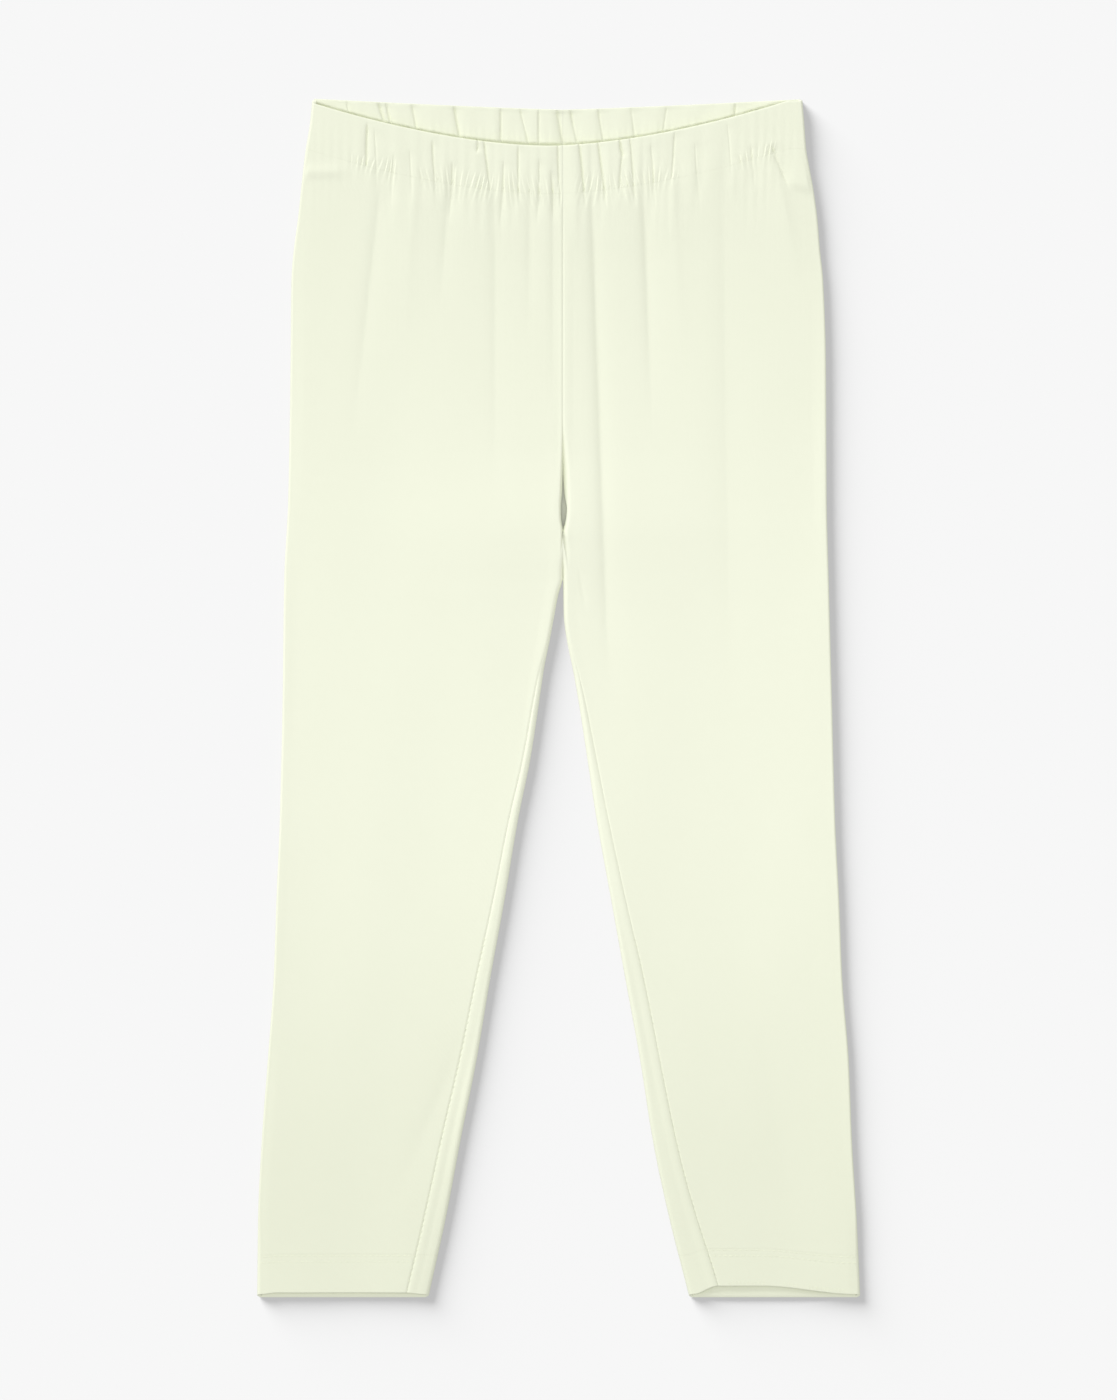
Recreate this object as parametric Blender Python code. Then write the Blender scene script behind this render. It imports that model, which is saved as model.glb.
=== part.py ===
"""A child's plain jersey leggings with an elastic waist, laid flat with the front up.

Metres, +Z up, the waist towards +Y. The origin is under the middle of the garment, on the surface
that it lies on. The tables are in millimetres, as a pattern cutter writes them. Left and right are
as seen from above. A level is a distance down from the back of the waist, and across is a distance
sideways from the centre front seam.
"""

import bisect
import math

import bmesh
import bpy
from mathutils import Vector

MM = 0.001

# Sizes of the whole garment
LENGTH = 599.0
CASING_DEPTH = 24.0
HEM_DEPTH = 20.0
CROTCH_LEVEL = 241.0

# Walls: the casing is two layers over its elastic, and the hem is two layers
CLOTH = 1.2
CASING_WALL = 2.2
HEM_WALL = 1.6
SEAM_GAP = 0.3

# The front of the waist hangs lower than the back, lowest a little left of the seam
WAIST_HALF_WIDTH = 125.0
FRONT_DROP = 24.0
FRONT_DROP_AT_SIDE = 1.5
FRONT_DROP_CENTRE = -8.0
FRONT_DROP_POWER = 1.7
BACK_DROP = 5.5
BACK_DROP_POWER = 1.2
DROP_ENDS_LEVEL = 120.0

# The front of each hem rides up above the back of it
HEM_RISE_STARTS = 530.0

# Flat cloth beside each rounded edge, and the share of the end columns that turns the last corner
EDGE_RUN = 2.0
LAST_TURN = 0.5

# Puckers on the inside of the back casing, where the lower front leaves it bare
INSIDE_PUCKER = 0.7
BARE_EDGE = 3.0


def table(columns, *rows):
    """A short table, kept as a dictionary of its named columns."""
    return dict(zip(columns.split(), zip(*rows)))


OUTLINE = table(
    "level left_side right_side",
    (0, 125.5, 120.0),
    (12, 127.0, 120.8),
    (25, 129.5, 122.0),
    (32, 130.2, 125.0),
    (45, 130.8, 126.0),
    (60, 133.0, 128.0),
    (75, 135.0, 130.0),
    (90, 136.5, 132.0),
    (130, 137.0, 132.5),
    (200, 138.0, 133.0),
    (240, 140.0, 134.2),
    (300, 141.0, 135.5),
    (360, 142.3, 137.2),
    (400, 144.0, 139.5),
    (440, 145.3, 141.2),
    (480, 149.0, 144.0),
    (520, 151.5, 145.5),
    (560, 152.7, 147.3),
    (599, 152.7, 148.5),
)

# The legs' inner edges, and how far in from them the inseams lie on the front
INNER_LEG = table(
    "level left_edge right_edge left_seam right_seam",
    (241, 0.15, 0.15, 0.0, 0.0),
    (248, 2.3, 0.2, 0.5, 0.4),
    (258, 4.2, 0.4, 0.8, 0.7),
    (270, 6.4, 1.8, 1.2, 1.2),
    (285, 9.4, 4.9, 2.2, 2.2),
    (300, 11.6, 7.6, 3.0, 3.2),
    (330, 16.2, 12.2, 3.8, 4.5),
    (360, 22.3, 16.8, 4.6, 5.8),
    (400, 29.0, 24.0, 5.8, 7.2),
    (440, 36.3, 31.2, 7.2, 9.2),
    (480, 43.0, 38.5, 8.6, 9.8),
    (520, 51.0, 44.8, 9.8, 11.6),
    (560, 58.5, 53.2, 10.8, 13.2),
    (599, 67.0, 63.0, 11.0, 14.5),
)

# Height of the garment at its side folds and at its middle edges, and how much more it swells between.
# The legs lie a little hollow between their folded edges
HEIGHT = table(
    "level side_fold middle loft",
    (0, 5.4, 5.4, 0.5),
    (24, 5.2, 5.2, 0.6),
    (45, 4.6, 4.8, 0.5),
    (75, 4.2, 4.4, 0.3),
    (120, 4.2, 4.4, 0.0),
    (175, 4.2, 4.8, -0.2),
    (190, 4.2, 5.3, -0.3),
    (203, 4.2, 5.8, -0.4),
    (215, 4.2, 6.0, -0.4),
    (228, 4.2, 5.6, -0.4),
    (241, 4.2, 5.0, -0.4),
    (260, 4.2, 4.5, -0.5),
    (300, 4.2, 4.2, -0.6),
    (400, 4.0, 4.0, -0.7),
    (500, 3.8, 3.8, -0.6),
    (578, 3.8, 3.8, -0.4),
    (599, 3.8, 3.8, -0.3),
)

# The front rolls down into its seam above the crotch, and the back rolls up to meet it there
CROTCH = table(
    "level front_roll back_roll",
    (145, 0.0, 0.0),
    (165, 0.2, 0.0),
    (178, 0.5, 0.0),
    (190, 0.8, 0.0),
    (203, 1.0, 0.0),
    (215, 1.0, 0.1),
    (228, 1.0, 0.5),
    (241, 1.0, 1.0),
)

# Hems: how far the front rides up at most and at its ends, where across its width it is up and where it
# starts down again, and how far it stands up
HEM = table(
    "side rise ends up_at down_from swell",
    (-1, 2.6, 1.8, 0.12, 0.90, 0.1),
    (1, 6.0, 1.8, 0.15, 0.42, 0.2),
)

# Height of the gathers that the elastic draws up
GATHERS = table(
    "level height",
    (0, 0.25),
    (12, 0.35),
    (24, 0.5),
    (36, 0.4),
    (60, 0.2),
    (95, 0.0),
)

# Long soft folds on the front, each from its top to its foot. A negative height is a trough
FOLDS = table(
    "top_across top_level foot_across foot_level height spread",
    (-92.0, 40, -108.0, 190, -0.6, 6.0),
    (-76.0, 45, -80.0, 130, 0.4, 7.0),
    (-57.0, 45, -63.0, 115, -0.6, 5.5),
    (-35.0, 45, -35.0, 225, -0.6, 6.0),
    (-17.0, 45, -18.0, 130, -0.5, 5.5),
    (-5.5, 45, -6.0, 165, -0.5, 4.5),
    (13.0, 45, 23.5, 330, -1.3, 5.0),
    (37.0, 45, 44.0, 210, -0.7, 6.0),
    (55.0, 45, 60.0, 150, 0.4, 7.0),
    (80.0, 50, 85.0, 360, -0.7, 8.0),
    (106.0, 28, 113.0, 60, -0.8, 5.0),
    (-124.0, 30, -112.0, 48, -0.5, 5.0),
    (-54.0, 480, -88.0, 560, -0.4, 8.0),
    (100.0, 470, 118.0, 575, -0.3, 9.0),
)

LEG_LEVELS = (
    30, 38, 48, 60, 75, 92, 112, 135, 155, 175, 190, 203, 215, 228, 241, 248, 258, 270, 285, 305, 335, 375,
    420, 465, 510, 545,
)

# How many columns of faces each stretch of a piece has, from its front edge round to its back edge
LEG_COLUMNS = {"roll": 3, "front": 34, "side": 4, "back": 8, "turn": 4, "return": 2}
CASING_COLUMNS = {"roll": 1, "front": 40, "side": 4, "back": 26, "turn": 1, "return": 1}
HEM_COLUMNS = {"roll": 1, "front": 10, "side": 4, "back": 5, "turn": 4, "return": 2}

# The turned edges of the casing and the hem are rounded by drawing their two faces together
CASING_ROUNDING = table(
    "level pinch",
    (0.0, 0.3),
    (1.1, 0.04),
    (12.0, 0.0),
    (22.8, 0.05),
    (24.0, 0.25),
)
HEM_ROUNDING = table(
    "level pinch",
    (579.3, 0.2),
    (581.0, 0.0),
    (598.0, 0.04),
    (599.0, 0.3),
)

SIDES = {"left": -1, "right": 1}
SEAM_ACROSS = (max(OUTLINE["left_side"]) - max(OUTLINE["right_side"])) / 2


def read(rows, column, at):
    """The column's value at a level, on a smooth curve through the rows that never overshoots them."""
    levels, values = rows["level"], rows[column]
    if at <= levels[0]:
        return values[0]
    if at >= levels[-1]:
        return values[-1]
    i = bisect.bisect_right(levels, at) - 1

    def slope(k):
        return (values[k + 1] - values[k]) / (levels[k + 1] - levels[k])

    def tangent(k):
        if k == 0 or k == len(levels) - 1:
            return slope(min(k, len(levels) - 2))
        before, after = slope(k - 1), slope(k)
        return 0.0 if before * after <= 0 else 2 * before * after / (before + after)

    step = levels[i + 1] - levels[i]
    s = (at - levels[i]) / step
    return (
        values[i] * (1 + 2 * s) * (1 - s) ** 2
        + tangent(i) * step * s * (1 - s) ** 2
        + values[i + 1] * s * s * (3 - 2 * s)
        + tangent(i + 1) * step * s * s * (s - 1)
    )


def ease(value, start, end):
    """0 before start, 1 after end, and an S-curve between them."""
    s = min(max((value - start) / (end - start), 0.0), 1.0)
    return s * s * (3 - 2 * s)


def front_drop(across):
    share = abs(across - FRONT_DROP_CENTRE) / WAIST_HALF_WIDTH
    return max(FRONT_DROP * (1 - share**FRONT_DROP_POWER), FRONT_DROP_AT_SIDE)


def back_drop(across):
    share = abs(across) / WAIST_HALF_WIDTH
    return max(BACK_DROP * (1 - share**BACK_DROP_POWER), 0.0)


def fold_height(across, level):
    """The long folds' height at a place on the front. A trough has low shoulders beside it."""
    total = 0.0
    for top, start, foot, end, height, spread in zip(*FOLDS.values()):
        run = (level - start) / (end - start)
        if -0.2 < run < 1.0:
            middle = top + (foot - top) * max(run, 0.0)
            q = (across - middle) / spread
            fade = ease(run, -0.2, 0.15) * (1 - ease(run, 0.35, 1.0))
            total += height * fade * (1 - 0.7 * q * q) * math.exp(-q * q)
    return total


def unevenness(k):
    """How deep the k-th gather is beside the others."""
    return 0.65 + 0.35 * math.sin(2.4 * k + 0.7)


class Section:
    """One cut across half the garment: a flattened loop of cloth, open at its seam.

    Its points are (out, height), out from the centre front seam to the side fold. The loop runs from
    the front seam edge over the front, round the side fold, and along the back to the back seam edge.
    Below the crotch both edges meet at the inseam, which climbs from the inner fold onto the front.
    """

    def __init__(self, side, level):
        name = "left" if side < 0 else "right"
        self.side, self.level = side, level
        self.radius = read(HEIGHT, "middle", level) / 2
        self.side_radius = read(HEIGHT, "side_fold", level) / 2
        self.loft = read(HEIGHT, "loft", level)
        self.side_centre = read(OUTLINE, f"{name}_side", level) - self.side_radius
        self.inner = read(INNER_LEG, f"{name}_edge", level)
        half_gap = SEAM_GAP / 2
        if level > CROTCH_LEVEL:
            self.seam = read(INNER_LEG, f"{name}_seam", level)
            turned = min(self.seam / self.radius, 1.0)
            seam_angle = math.acos(1 - turned)
            self.front_angle = seam_angle + half_gap / self.radius
            self.back_angle = seam_angle - half_gap / self.radius
            self.front_centre = self.back_centre = self.inner + self.radius
        else:
            self.seam = 0.0
            roll = min(max(read(CROTCH, "front_roll", level), 0.0), 1.0)
            lift = min(max(read(CROTCH, "back_roll", level), 0.0), 1.0)
            self.front_angle = math.pi / 2 * (1 - roll) + half_gap / self.radius * roll
            self.back_angle = -math.pi / 2 * (1 - lift) - half_gap / self.radius * lift
            self.front_centre = self.inner + self.radius * math.cos(self.front_angle)
            self.back_centre = self.inner + self.radius * math.cos(self.back_angle)
        self.on_front = self.seam > self.radius
        index = HEM["side"].index(side)
        self.rise, self.ends = HEM["rise"][index], HEM["ends"][index]
        self.up_at, self.down_from = HEM["up_at"][index], HEM["down_from"][index]
        self.swell = HEM["swell"][index]

    def share(self, out):
        """How far a place is from the middle edge, 0, to the side fold, 1."""
        return (out - self.front_centre) / (self.side_centre - self.front_centre)

    def shift(self, out, front):
        """How far down the garment a point lies beyond its level. front is 1 on the front, 0 on the back."""
        across = self.side * out
        drop = front * front_drop(across) + (1 - front) * back_drop(across)
        waist = drop * (1 - ease(self.level, CASING_DEPTH, DROP_ENDS_LEVEL))
        s = min(max(self.share(out), 0.0), 1.0)
        up = ease(s, 0.0, self.up_at) * (1 - ease(s, self.down_from, 1.0))
        rise = self.ends + (self.rise - self.ends) * up
        return waist - front * rise * ease(self.level, HEM_RISE_STARTS, LENGTH)

    def top(self, out, gather=0.0):
        """A point of the front at this place."""
        s = min(max(self.share(out), 0.0), 1.0)
        edges = ease(s, 0.0, 0.04) * (1 - ease(s, 0.95, 1.0))
        height = 2 * (self.radius * (1 - s) + self.side_radius * s)
        height += self.loft * (1 - (2 * s - 1) ** 2)
        height += self.swell * (1 - (2 * s - 1) ** 2) * ease(self.level, HEM_RISE_STARTS, LENGTH)
        height += edges * (gather + fold_height(self.side * out, self.level + self.shift(out, 1.0)))
        return (out, height), (0.0, 1.0), 1.0

    def bottom(self, out):
        return (out, 0.0), (0.0, -1.0), 0.0

    def turn(self, centre, radius, angle, facing):
        """A point of a rounded edge. The angle is 0 at the edge itself and a quarter turn at the top."""
        across, up = facing * math.cos(angle), math.sin(angle)
        return (centre + radius * across, radius * (1 + up)), (across, up), (1 + up) / 2

    def front_edge(self, distance):
        """A point this far from the front seam edge, along the cloth."""
        if self.on_front:
            return self.top(self.inner + self.seam + SEAM_GAP / 2 + distance)
        arc = (math.pi / 2 - self.front_angle) * self.radius
        if distance < arc:
            return self.turn(self.front_centre, self.radius, self.front_angle + distance / self.radius, -1)
        return self.top(self.front_centre + distance - arc)

    def back_edge(self, distance):
        """A point this far past the end of the back's flat run, towards the back seam edge."""
        if distance < EDGE_RUN:
            return self.bottom(self.back_centre + EDGE_RUN - distance)
        angle = (distance - EDGE_RUN) / self.radius - math.pi / 2
        if angle < math.pi / 2:
            return self.turn(self.back_centre, self.radius, angle, -1)
        return self.top(self.back_centre + (angle - math.pi / 2) * self.radius)

    def points(self, counts):
        """Every column's point, outward direction and share of the front, from edge to edge."""
        found = []
        arc = 0.0 if self.on_front else (math.pi / 2 - self.front_angle) * self.radius
        start = arc + EDGE_RUN
        for k in range(counts["roll"]):
            found.append(self.front_edge(start * k / counts["roll"]))
        first = self.front_edge(start)[0][0]
        gather = read(GATHERS, "height", self.level)
        for k in range(counts["front"]):
            out = first + (self.side_centre - first) * k / counts["front"]
            found.append(self.top(out, gather * unevenness(k) * (-1) ** k))
        for k in range(counts["side"]):
            angle = math.pi / 2 - math.pi * k / counts["side"]
            found.append(self.turn(self.side_centre, self.side_radius, angle, 1))
        last = self.back_centre + EDGE_RUN
        for k in range(counts["back"]):
            found.append(self.bottom(self.side_centre + (last - self.side_centre) * k / counts["back"]))
        if self.on_front:
            corner = EDGE_RUN + math.pi * self.radius
            end = corner + self.inner + self.seam - SEAM_GAP / 2 - self.back_centre
        else:
            end = EDGE_RUN + (self.back_angle + math.pi / 2) * self.radius
            corner = end - LAST_TURN
        for k in range(counts["turn"]):
            found.append(self.back_edge(corner * k / counts["turn"]))
        for k in range(counts["return"] + 1):
            found.append(self.back_edge(corner + (end - corner) * k / counts["return"]))
        return found


def cloth(name):
    """The plain pale lime jersey."""
    material = bpy.data.materials.new(name)
    material.use_nodes = True
    shader = material.node_tree.nodes["Principled BSDF"]
    shader.inputs["Base Color"].default_value = (0.87, 0.91, 0.71, 1.0)
    shader.inputs["Roughness"].default_value = 0.9
    shader.inputs["Metallic"].default_value = 0.0
    return material


def bare_puckers(section, out, front, k):
    """How much thicker the casing is at a pucker on the bare inside of its back."""
    across = section.side * out
    bare = front_drop(across) - back_drop(across) - section.level
    return (1 - front) * (k % 2) * INSIDE_PUCKER * unevenness(k) * ease(bare, 0.0, BARE_EDGE)


def cloth_wall(name, side, levels, counts, wall, pinches=None, puckers=None):
    """A piece of cloth between two faces: a grid doubled into a thin closed wall, then set in place."""
    cuts = [Section(side, level) for level in levels]
    points = [cut.points(counts) for cut in cuts]
    columns = len(points[0]) - 1
    rows = len(levels) - 1
    shape = bmesh.new()
    bmesh.ops.create_grid(shape, x_segments=columns, y_segments=rows, size=1.0)
    doubled = bmesh.ops.extrude_face_region(shape, geom=shape.faces[:], use_keep_orig=True)
    inside = {item for item in doubled["geom"] if isinstance(item, bmesh.types.BMVert)}
    for vertex in shape.verts:
        k = round((vertex.co.x + 1) / 2 * columns)
        row = round((vertex.co.y + 1) / 2 * rows)
        cut = cuts[row]
        (out, height), (lean, up), front = points[row][k]
        pinch = pinches[row] * wall if pinches else 0.0
        depth = pinch
        if vertex in inside:
            depth = wall - pinch
            if puckers:
                depth += puckers(cut, out, front, k)
        along = LENGTH / 2 - cut.level - cut.shift(out, front)
        across = SEAM_ACROSS + side * (out - lean * depth)
        vertex.co = Vector((across, along, height - up * depth)) * MM
    bmesh.ops.recalc_face_normals(shape, faces=shape.faces[:])
    mesh = bpy.data.meshes.new(name)
    shape.to_mesh(mesh)
    shape.free()
    mesh.shade_smooth()
    mesh.materials.append(cloth(f"{name}_jersey"))
    piece = bpy.data.objects.new(name, mesh)
    bpy.context.scene.collection.objects.link(piece)
    return piece


def leg(name, side):
    """One leg, cut in one piece with its half of the seat, from the casing's seam to the hem's."""
    ends = (CASING_DEPTH + SEAM_GAP, LENGTH - HEM_DEPTH)
    levels = [ends[0], *LEG_LEVELS, ends[1]]
    return cloth_wall(name, side, levels, LEG_COLUMNS, CLOTH)


def casing(name, side):
    """Half the waist casing, turned down over its elastic and gathered by it."""
    levels, pinches = CASING_ROUNDING["level"], CASING_ROUNDING["pinch"]
    return cloth_wall(name, side, levels, CASING_COLUMNS, CASING_WALL, pinches, bare_puckers)


def hem(name, side):
    """The turned-up hem of one leg."""
    levels, pinches = HEM_ROUNDING["level"], HEM_ROUNDING["pinch"]
    return cloth_wall(name, side, levels, HEM_COLUMNS, HEM_WALL, pinches)


def main():
    for old in list(bpy.data.objects):
        bpy.data.objects.remove(old, do_unlink=True)
    for name, side in SIDES.items():
        leg(f"{name}_leg", side)
        casing(f"{name}_waist_casing", side)
        hem(f"{name}_hem", side)


main()
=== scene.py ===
"""The looks of a child's plain pale lime jersey leggings, laid flat with the front up.

Each piece of cloth stands for the CAD solid of its name and lies in that solid's space. The tables are
in millimetres. Left and right are as seen from above. A level is a distance down from the waist edge of
the piece's own panel, down is the same measured from the back of the waist, and across is a distance
sideways from the centre front seam.
"""

import math

import bmesh
import bpy
import numpy as np
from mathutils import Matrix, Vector


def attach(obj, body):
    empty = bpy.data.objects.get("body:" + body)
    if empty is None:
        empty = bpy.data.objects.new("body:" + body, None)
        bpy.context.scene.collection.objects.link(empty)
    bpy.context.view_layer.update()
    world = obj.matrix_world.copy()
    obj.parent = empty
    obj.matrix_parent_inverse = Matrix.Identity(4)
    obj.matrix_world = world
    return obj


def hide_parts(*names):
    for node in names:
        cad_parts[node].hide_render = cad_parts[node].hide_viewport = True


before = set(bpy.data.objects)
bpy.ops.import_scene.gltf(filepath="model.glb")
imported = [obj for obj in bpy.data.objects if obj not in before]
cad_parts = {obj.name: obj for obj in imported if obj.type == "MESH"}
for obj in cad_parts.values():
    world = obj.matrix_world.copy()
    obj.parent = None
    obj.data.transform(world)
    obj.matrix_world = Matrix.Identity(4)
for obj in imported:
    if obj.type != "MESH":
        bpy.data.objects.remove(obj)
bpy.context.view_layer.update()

MM = 0.001

# Sizes of the whole garment
LENGTH = 599.0
CASING_DEPTH = 24.0
HEM_DEPTH = 20.0
CROTCH_LEVEL = 241.0

# Walls of the cloth, and the hairline between two pieces that are sewn together
CLOTH = 0.9
CASING_WALL = 2.2
HEM_WALL = 1.6
SEAM_GAP = 0.03

# The front of the waist hangs lower than the back, lowest a little left of the seam
WAIST_HALF_WIDTH = 125.0
FRONT_DROP = 24.0
FRONT_DROP_AT_SIDE = 1.5
FRONT_DROP_CENTRE = -8.0
FRONT_DROP_POWER = 1.7
BACK_DROP = 5.5
BACK_DROP_POWER = 1.2
DROP_ENDS_LEVEL = 120.0

# The front of each hem rides up above the back of it
HEM_RISE_STARTS = 530.0

# Flat cloth beside each rounded edge, and how far the legs' side folds, pressed flat, bulge out
EDGE_RUN = 2.0
SIDE_FOLD_REACH = 0.9

# The drawn-up cloth of the waist is smooth again below this level
GATHERS_END = 90.0

# The casing's zigzag row, pressed a little into the cloth
ZIGZAG_LEVEL = 22.6
ZIGZAG_HALF_WIDTH = 1.0
ZIGZAG_STEP = 0.9
ZIGZAG_SINK = 0.08

# How far above the hem's edge its two rows of stitches are, and how far apart the stitches start
HEM_ROWS = (19.0, 16.0)
STITCH_PITCH = 2.8

# Short stitches across the inseams, from this level down
TICKS_START = 420.0
TICK_PITCH = 3.2

# The threads, and how far they lie over the cloth
THREAD_RADIUS = 0.11
FINE_THREAD_RADIUS = 0.09
LOOP_THREAD_RADIUS = 0.12
THREAD_LIFT = 0.03


def table(columns, *rows):
    """A short table, kept as a dictionary of its named columns."""
    return dict(zip(columns.split(), zip(*rows)))


OUTLINE = table(
    "level left_side right_side",
    (0, 125.2, 119.6),
    (12, 126.4, 120.6),
    (25, 128.5, 121.6),
    (32, 129.4, 122.8),
    (45, 130.8, 125.2),
    (60, 132.4, 127.2),
    (75, 134.4, 128.4),
    (90, 135.6, 130.0),
    (130, 136.0, 131.4),
    (200, 137.2, 131.8),
    (240, 139.2, 132.8),
    (300, 140.0, 134.4),
    (360, 141.4, 136.0),
    (400, 143.1, 138.0),
    (440, 144.5, 139.6),
    (480, 147.4, 142.8),
    (520, 150.4, 144.4),
    (560, 152.3, 146.8),
    (599, 152.7, 148.5),
)

# The legs' inner edges, and how far in from them the inseams lie on the front
INNER_LEG = table(
    "level left_edge right_edge left_seam right_seam",
    (241, 0.03, 0.03, 0.0, 0.0),
    (248, 2.3, 0.2, 0.5, 0.4),
    (258, 4.2, 0.4, 0.8, 0.7),
    (270, 6.4, 1.8, 1.2, 1.2),
    (285, 9.4, 4.9, 2.2, 2.2),
    (300, 11.6, 7.6, 3.0, 3.2),
    (330, 16.2, 12.2, 3.8, 4.5),
    (360, 22.3, 16.8, 4.6, 5.8),
    (400, 29.0, 24.0, 5.8, 7.2),
    (440, 36.3, 31.2, 7.2, 9.2),
    (480, 43.0, 38.5, 8.6, 9.8),
    (520, 51.0, 44.8, 9.8, 11.6),
    (560, 58.5, 53.2, 10.8, 13.2),
    (599, 67.0, 63.0, 11.0, 14.5),
)

# Height of the garment at its side folds and at its middle edges, and how much more it swells between.
# The legs lie a little hollow between their folded edges
HEIGHT = table(
    "level side_fold middle loft",
    (0, 5.4, 5.4, 0.5),
    (24, 5.2, 5.2, 0.6),
    (45, 4.6, 4.8, 0.5),
    (75, 4.2, 4.4, 0.3),
    (120, 4.2, 4.4, 0.0),
    (175, 4.2, 4.8, -0.2),
    (190, 4.2, 5.3, -0.3),
    (203, 4.2, 5.8, -0.4),
    (215, 4.2, 6.0, -0.4),
    (228, 4.2, 5.6, -0.4),
    (241, 4.2, 5.0, -0.4),
    (260, 4.2, 4.5, -0.5),
    (300, 4.2, 4.2, -0.6),
    (400, 4.0, 4.0, -0.7),
    (500, 3.8, 3.8, -0.6),
    (578, 3.8, 3.8, -0.4),
    (599, 3.8, 3.8, -0.3),
)

# Above the crotch the front sinks into a narrow valley, of this depth and this far each way from the
# seam, which opens a little where it is strained most. Then the front rolls down into the seam, and the
# back rolls up to meet it
CROTCH = table(
    "level valley left_edge right_edge open front_roll back_roll",
    (164, 0.0, 0.4, 1.2, 0.0, 0.0, 0.0),
    (176, 1.2, 0.6, 2.2, 0.0, 0.0, 0.0),
    (188, 2.8, 1.0, 2.8, 0.1, 0.0, 0.0),
    (198, 3.8, 1.4, 3.0, 0.6, 0.0, 0.0),
    (202, 4.0, 1.6, 3.0, 1.2, 0.0, 0.0),
    (205, 4.0, 1.6, 3.0, 1.5, 0.0, 0.0),
    (211, 4.0, 1.4, 2.5, 1.1, 0.0, 0.0),
    (214, 3.2, 1.0, 2.0, 0.3, 0.0, 0.0),
    (217, 1.2, 0.8, 1.8, 0.0, 0.0, 0.1),
    (223, 1.4, 1.0, 2.8, 0.0, 0.1, 0.2),
    (232, 1.1, 1.0, 2.4, 0.0, 0.6, 0.6),
    (241, 0.0, 0.8, 1.4, 0.0, 1.0, 1.0),
)

# Hems: how far the front rides up at most and at its ends, where across its width it is up and where it
# starts down again, and how far it stands up
HEM = table(
    "side rise ends up_at down_from swell",
    (-1, 2.6, 1.8, 0.12, 0.90, 0.4),
    (1, 6.0, 1.8, 0.15, 0.42, 0.4),
)

# Long soft folds on the front, each from its top to its foot. A negative height is a trough, steeper on
# its left, and a ridge is steeper on its right
FOLDS = table(
    "top_across top_down foot_across foot_down height spread fades_from",
    (-90.5, 40, -107.0, 190, -0.60, 4.0, 0.30),
    (-75.0, 45, -79.0, 130, 0.35, 6.0, 0.35),
    (-56.5, 40, -62.0, 115, -0.55, 3.4, 0.30),
    (-34.0, 40, -34.0, 225, -0.50, 3.8, 0.30),
    (-16.5, 40, -17.0, 130, -0.55, 3.2, 0.30),
    (-5.0, 40, -5.0, 165, -0.50, 2.8, 0.30),
    (14.0, 40, 23.5, 310, -1.15, 3.4, 0.65),
    (40.0, 42, 45.0, 180, -1.05, 3.2, 0.25),
    (55.0, 45, 60.0, 150, 0.35, 6.0, 0.35),
    (80.0, 50, 85.0, 360, -0.60, 8.0, 0.45),
    (106.0, 30, 118.0, 95, 0.80, 6.0, 0.40),
    (8.0, 240, 11.5, 254, -0.30, 0.8, 0.55),
    (-54.0, 480, -88.0, 560, -0.40, 7.0, 0.35),
    (100.0, 470, 118.0, 575, -0.25, 9.0, 0.35),
)

# Short folds that the elastic draws up in the front casing and just below it
CASING_FOLDS = table(
    "top_across top_level foot_across foot_level depth spread",
    (-97.8, 4, -97.2, 27, 0.42, 0.8),
    (-94.0, 6, -93.0, 40, 0.16, 2.0),
    (-84.0, 16, -86.0, 44, 0.16, 1.6),
    (-76.0, 12, -76.0, 40, 0.14, 1.8),
    (-64.5, 5, -63.8, 34, 0.30, 0.9),
    (-55.5, 14, -56.5, 46, 0.26, 1.5),
    (-43.0, 0, -42.6, 7, 0.34, 0.8),
    (-38.8, 0, -36.6, 28, 0.45, 1.1),
    (-30.0, 10, -31.0, 48, 0.20, 1.6),
    (-22.4, 2, -21.2, 34, 0.34, 1.0),
    (-12.0, 8, -13.0, 44, 0.20, 1.4),
    (-6.0, 14, -5.0, 42, 0.22, 1.2),
    (-2.0, 0, -1.4, 34, 0.32, 0.9),
    (7.6, 0, 12.0, 34, 0.48, 1.0),
    (18.0, 0, 21.4, 36, 0.44, 1.0),
    (28.8, 0, 30.2, 10, 0.60, 0.7),
    (30.0, 8, 27.0, 30, 0.28, 1.0),
    (33.0, 0, 37.0, 38, 0.30, 1.1),
    (44.0, 6, 46.0, 44, 0.18, 1.8),
    (56.0, 2, 53.0, 30, 0.28, 1.3),
    (66.0, 10, 69.0, 44, 0.14, 2.2),
    (82.0, 4, 84.0, 36, 0.12, 2.2),
    (94.0, 18, 95.0, 42, 0.20, 1.4),
    (105.0, 21, 113.0, 46, 0.40, 1.6),
)

# Short creases at the sides, just under the casing, from near the front's folds out to the side fold. Each
# is a ridge with its own spread above and below
SIDE_CREASES = table(
    "near far down lean height above below",
    (-104.0, -131.0, 37.2, 0.0, 0.50, 3.0, 2.4),
    (108.0, 127.0, 41.5, 3.5, 0.70, 11.0, 2.6),
)

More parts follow.
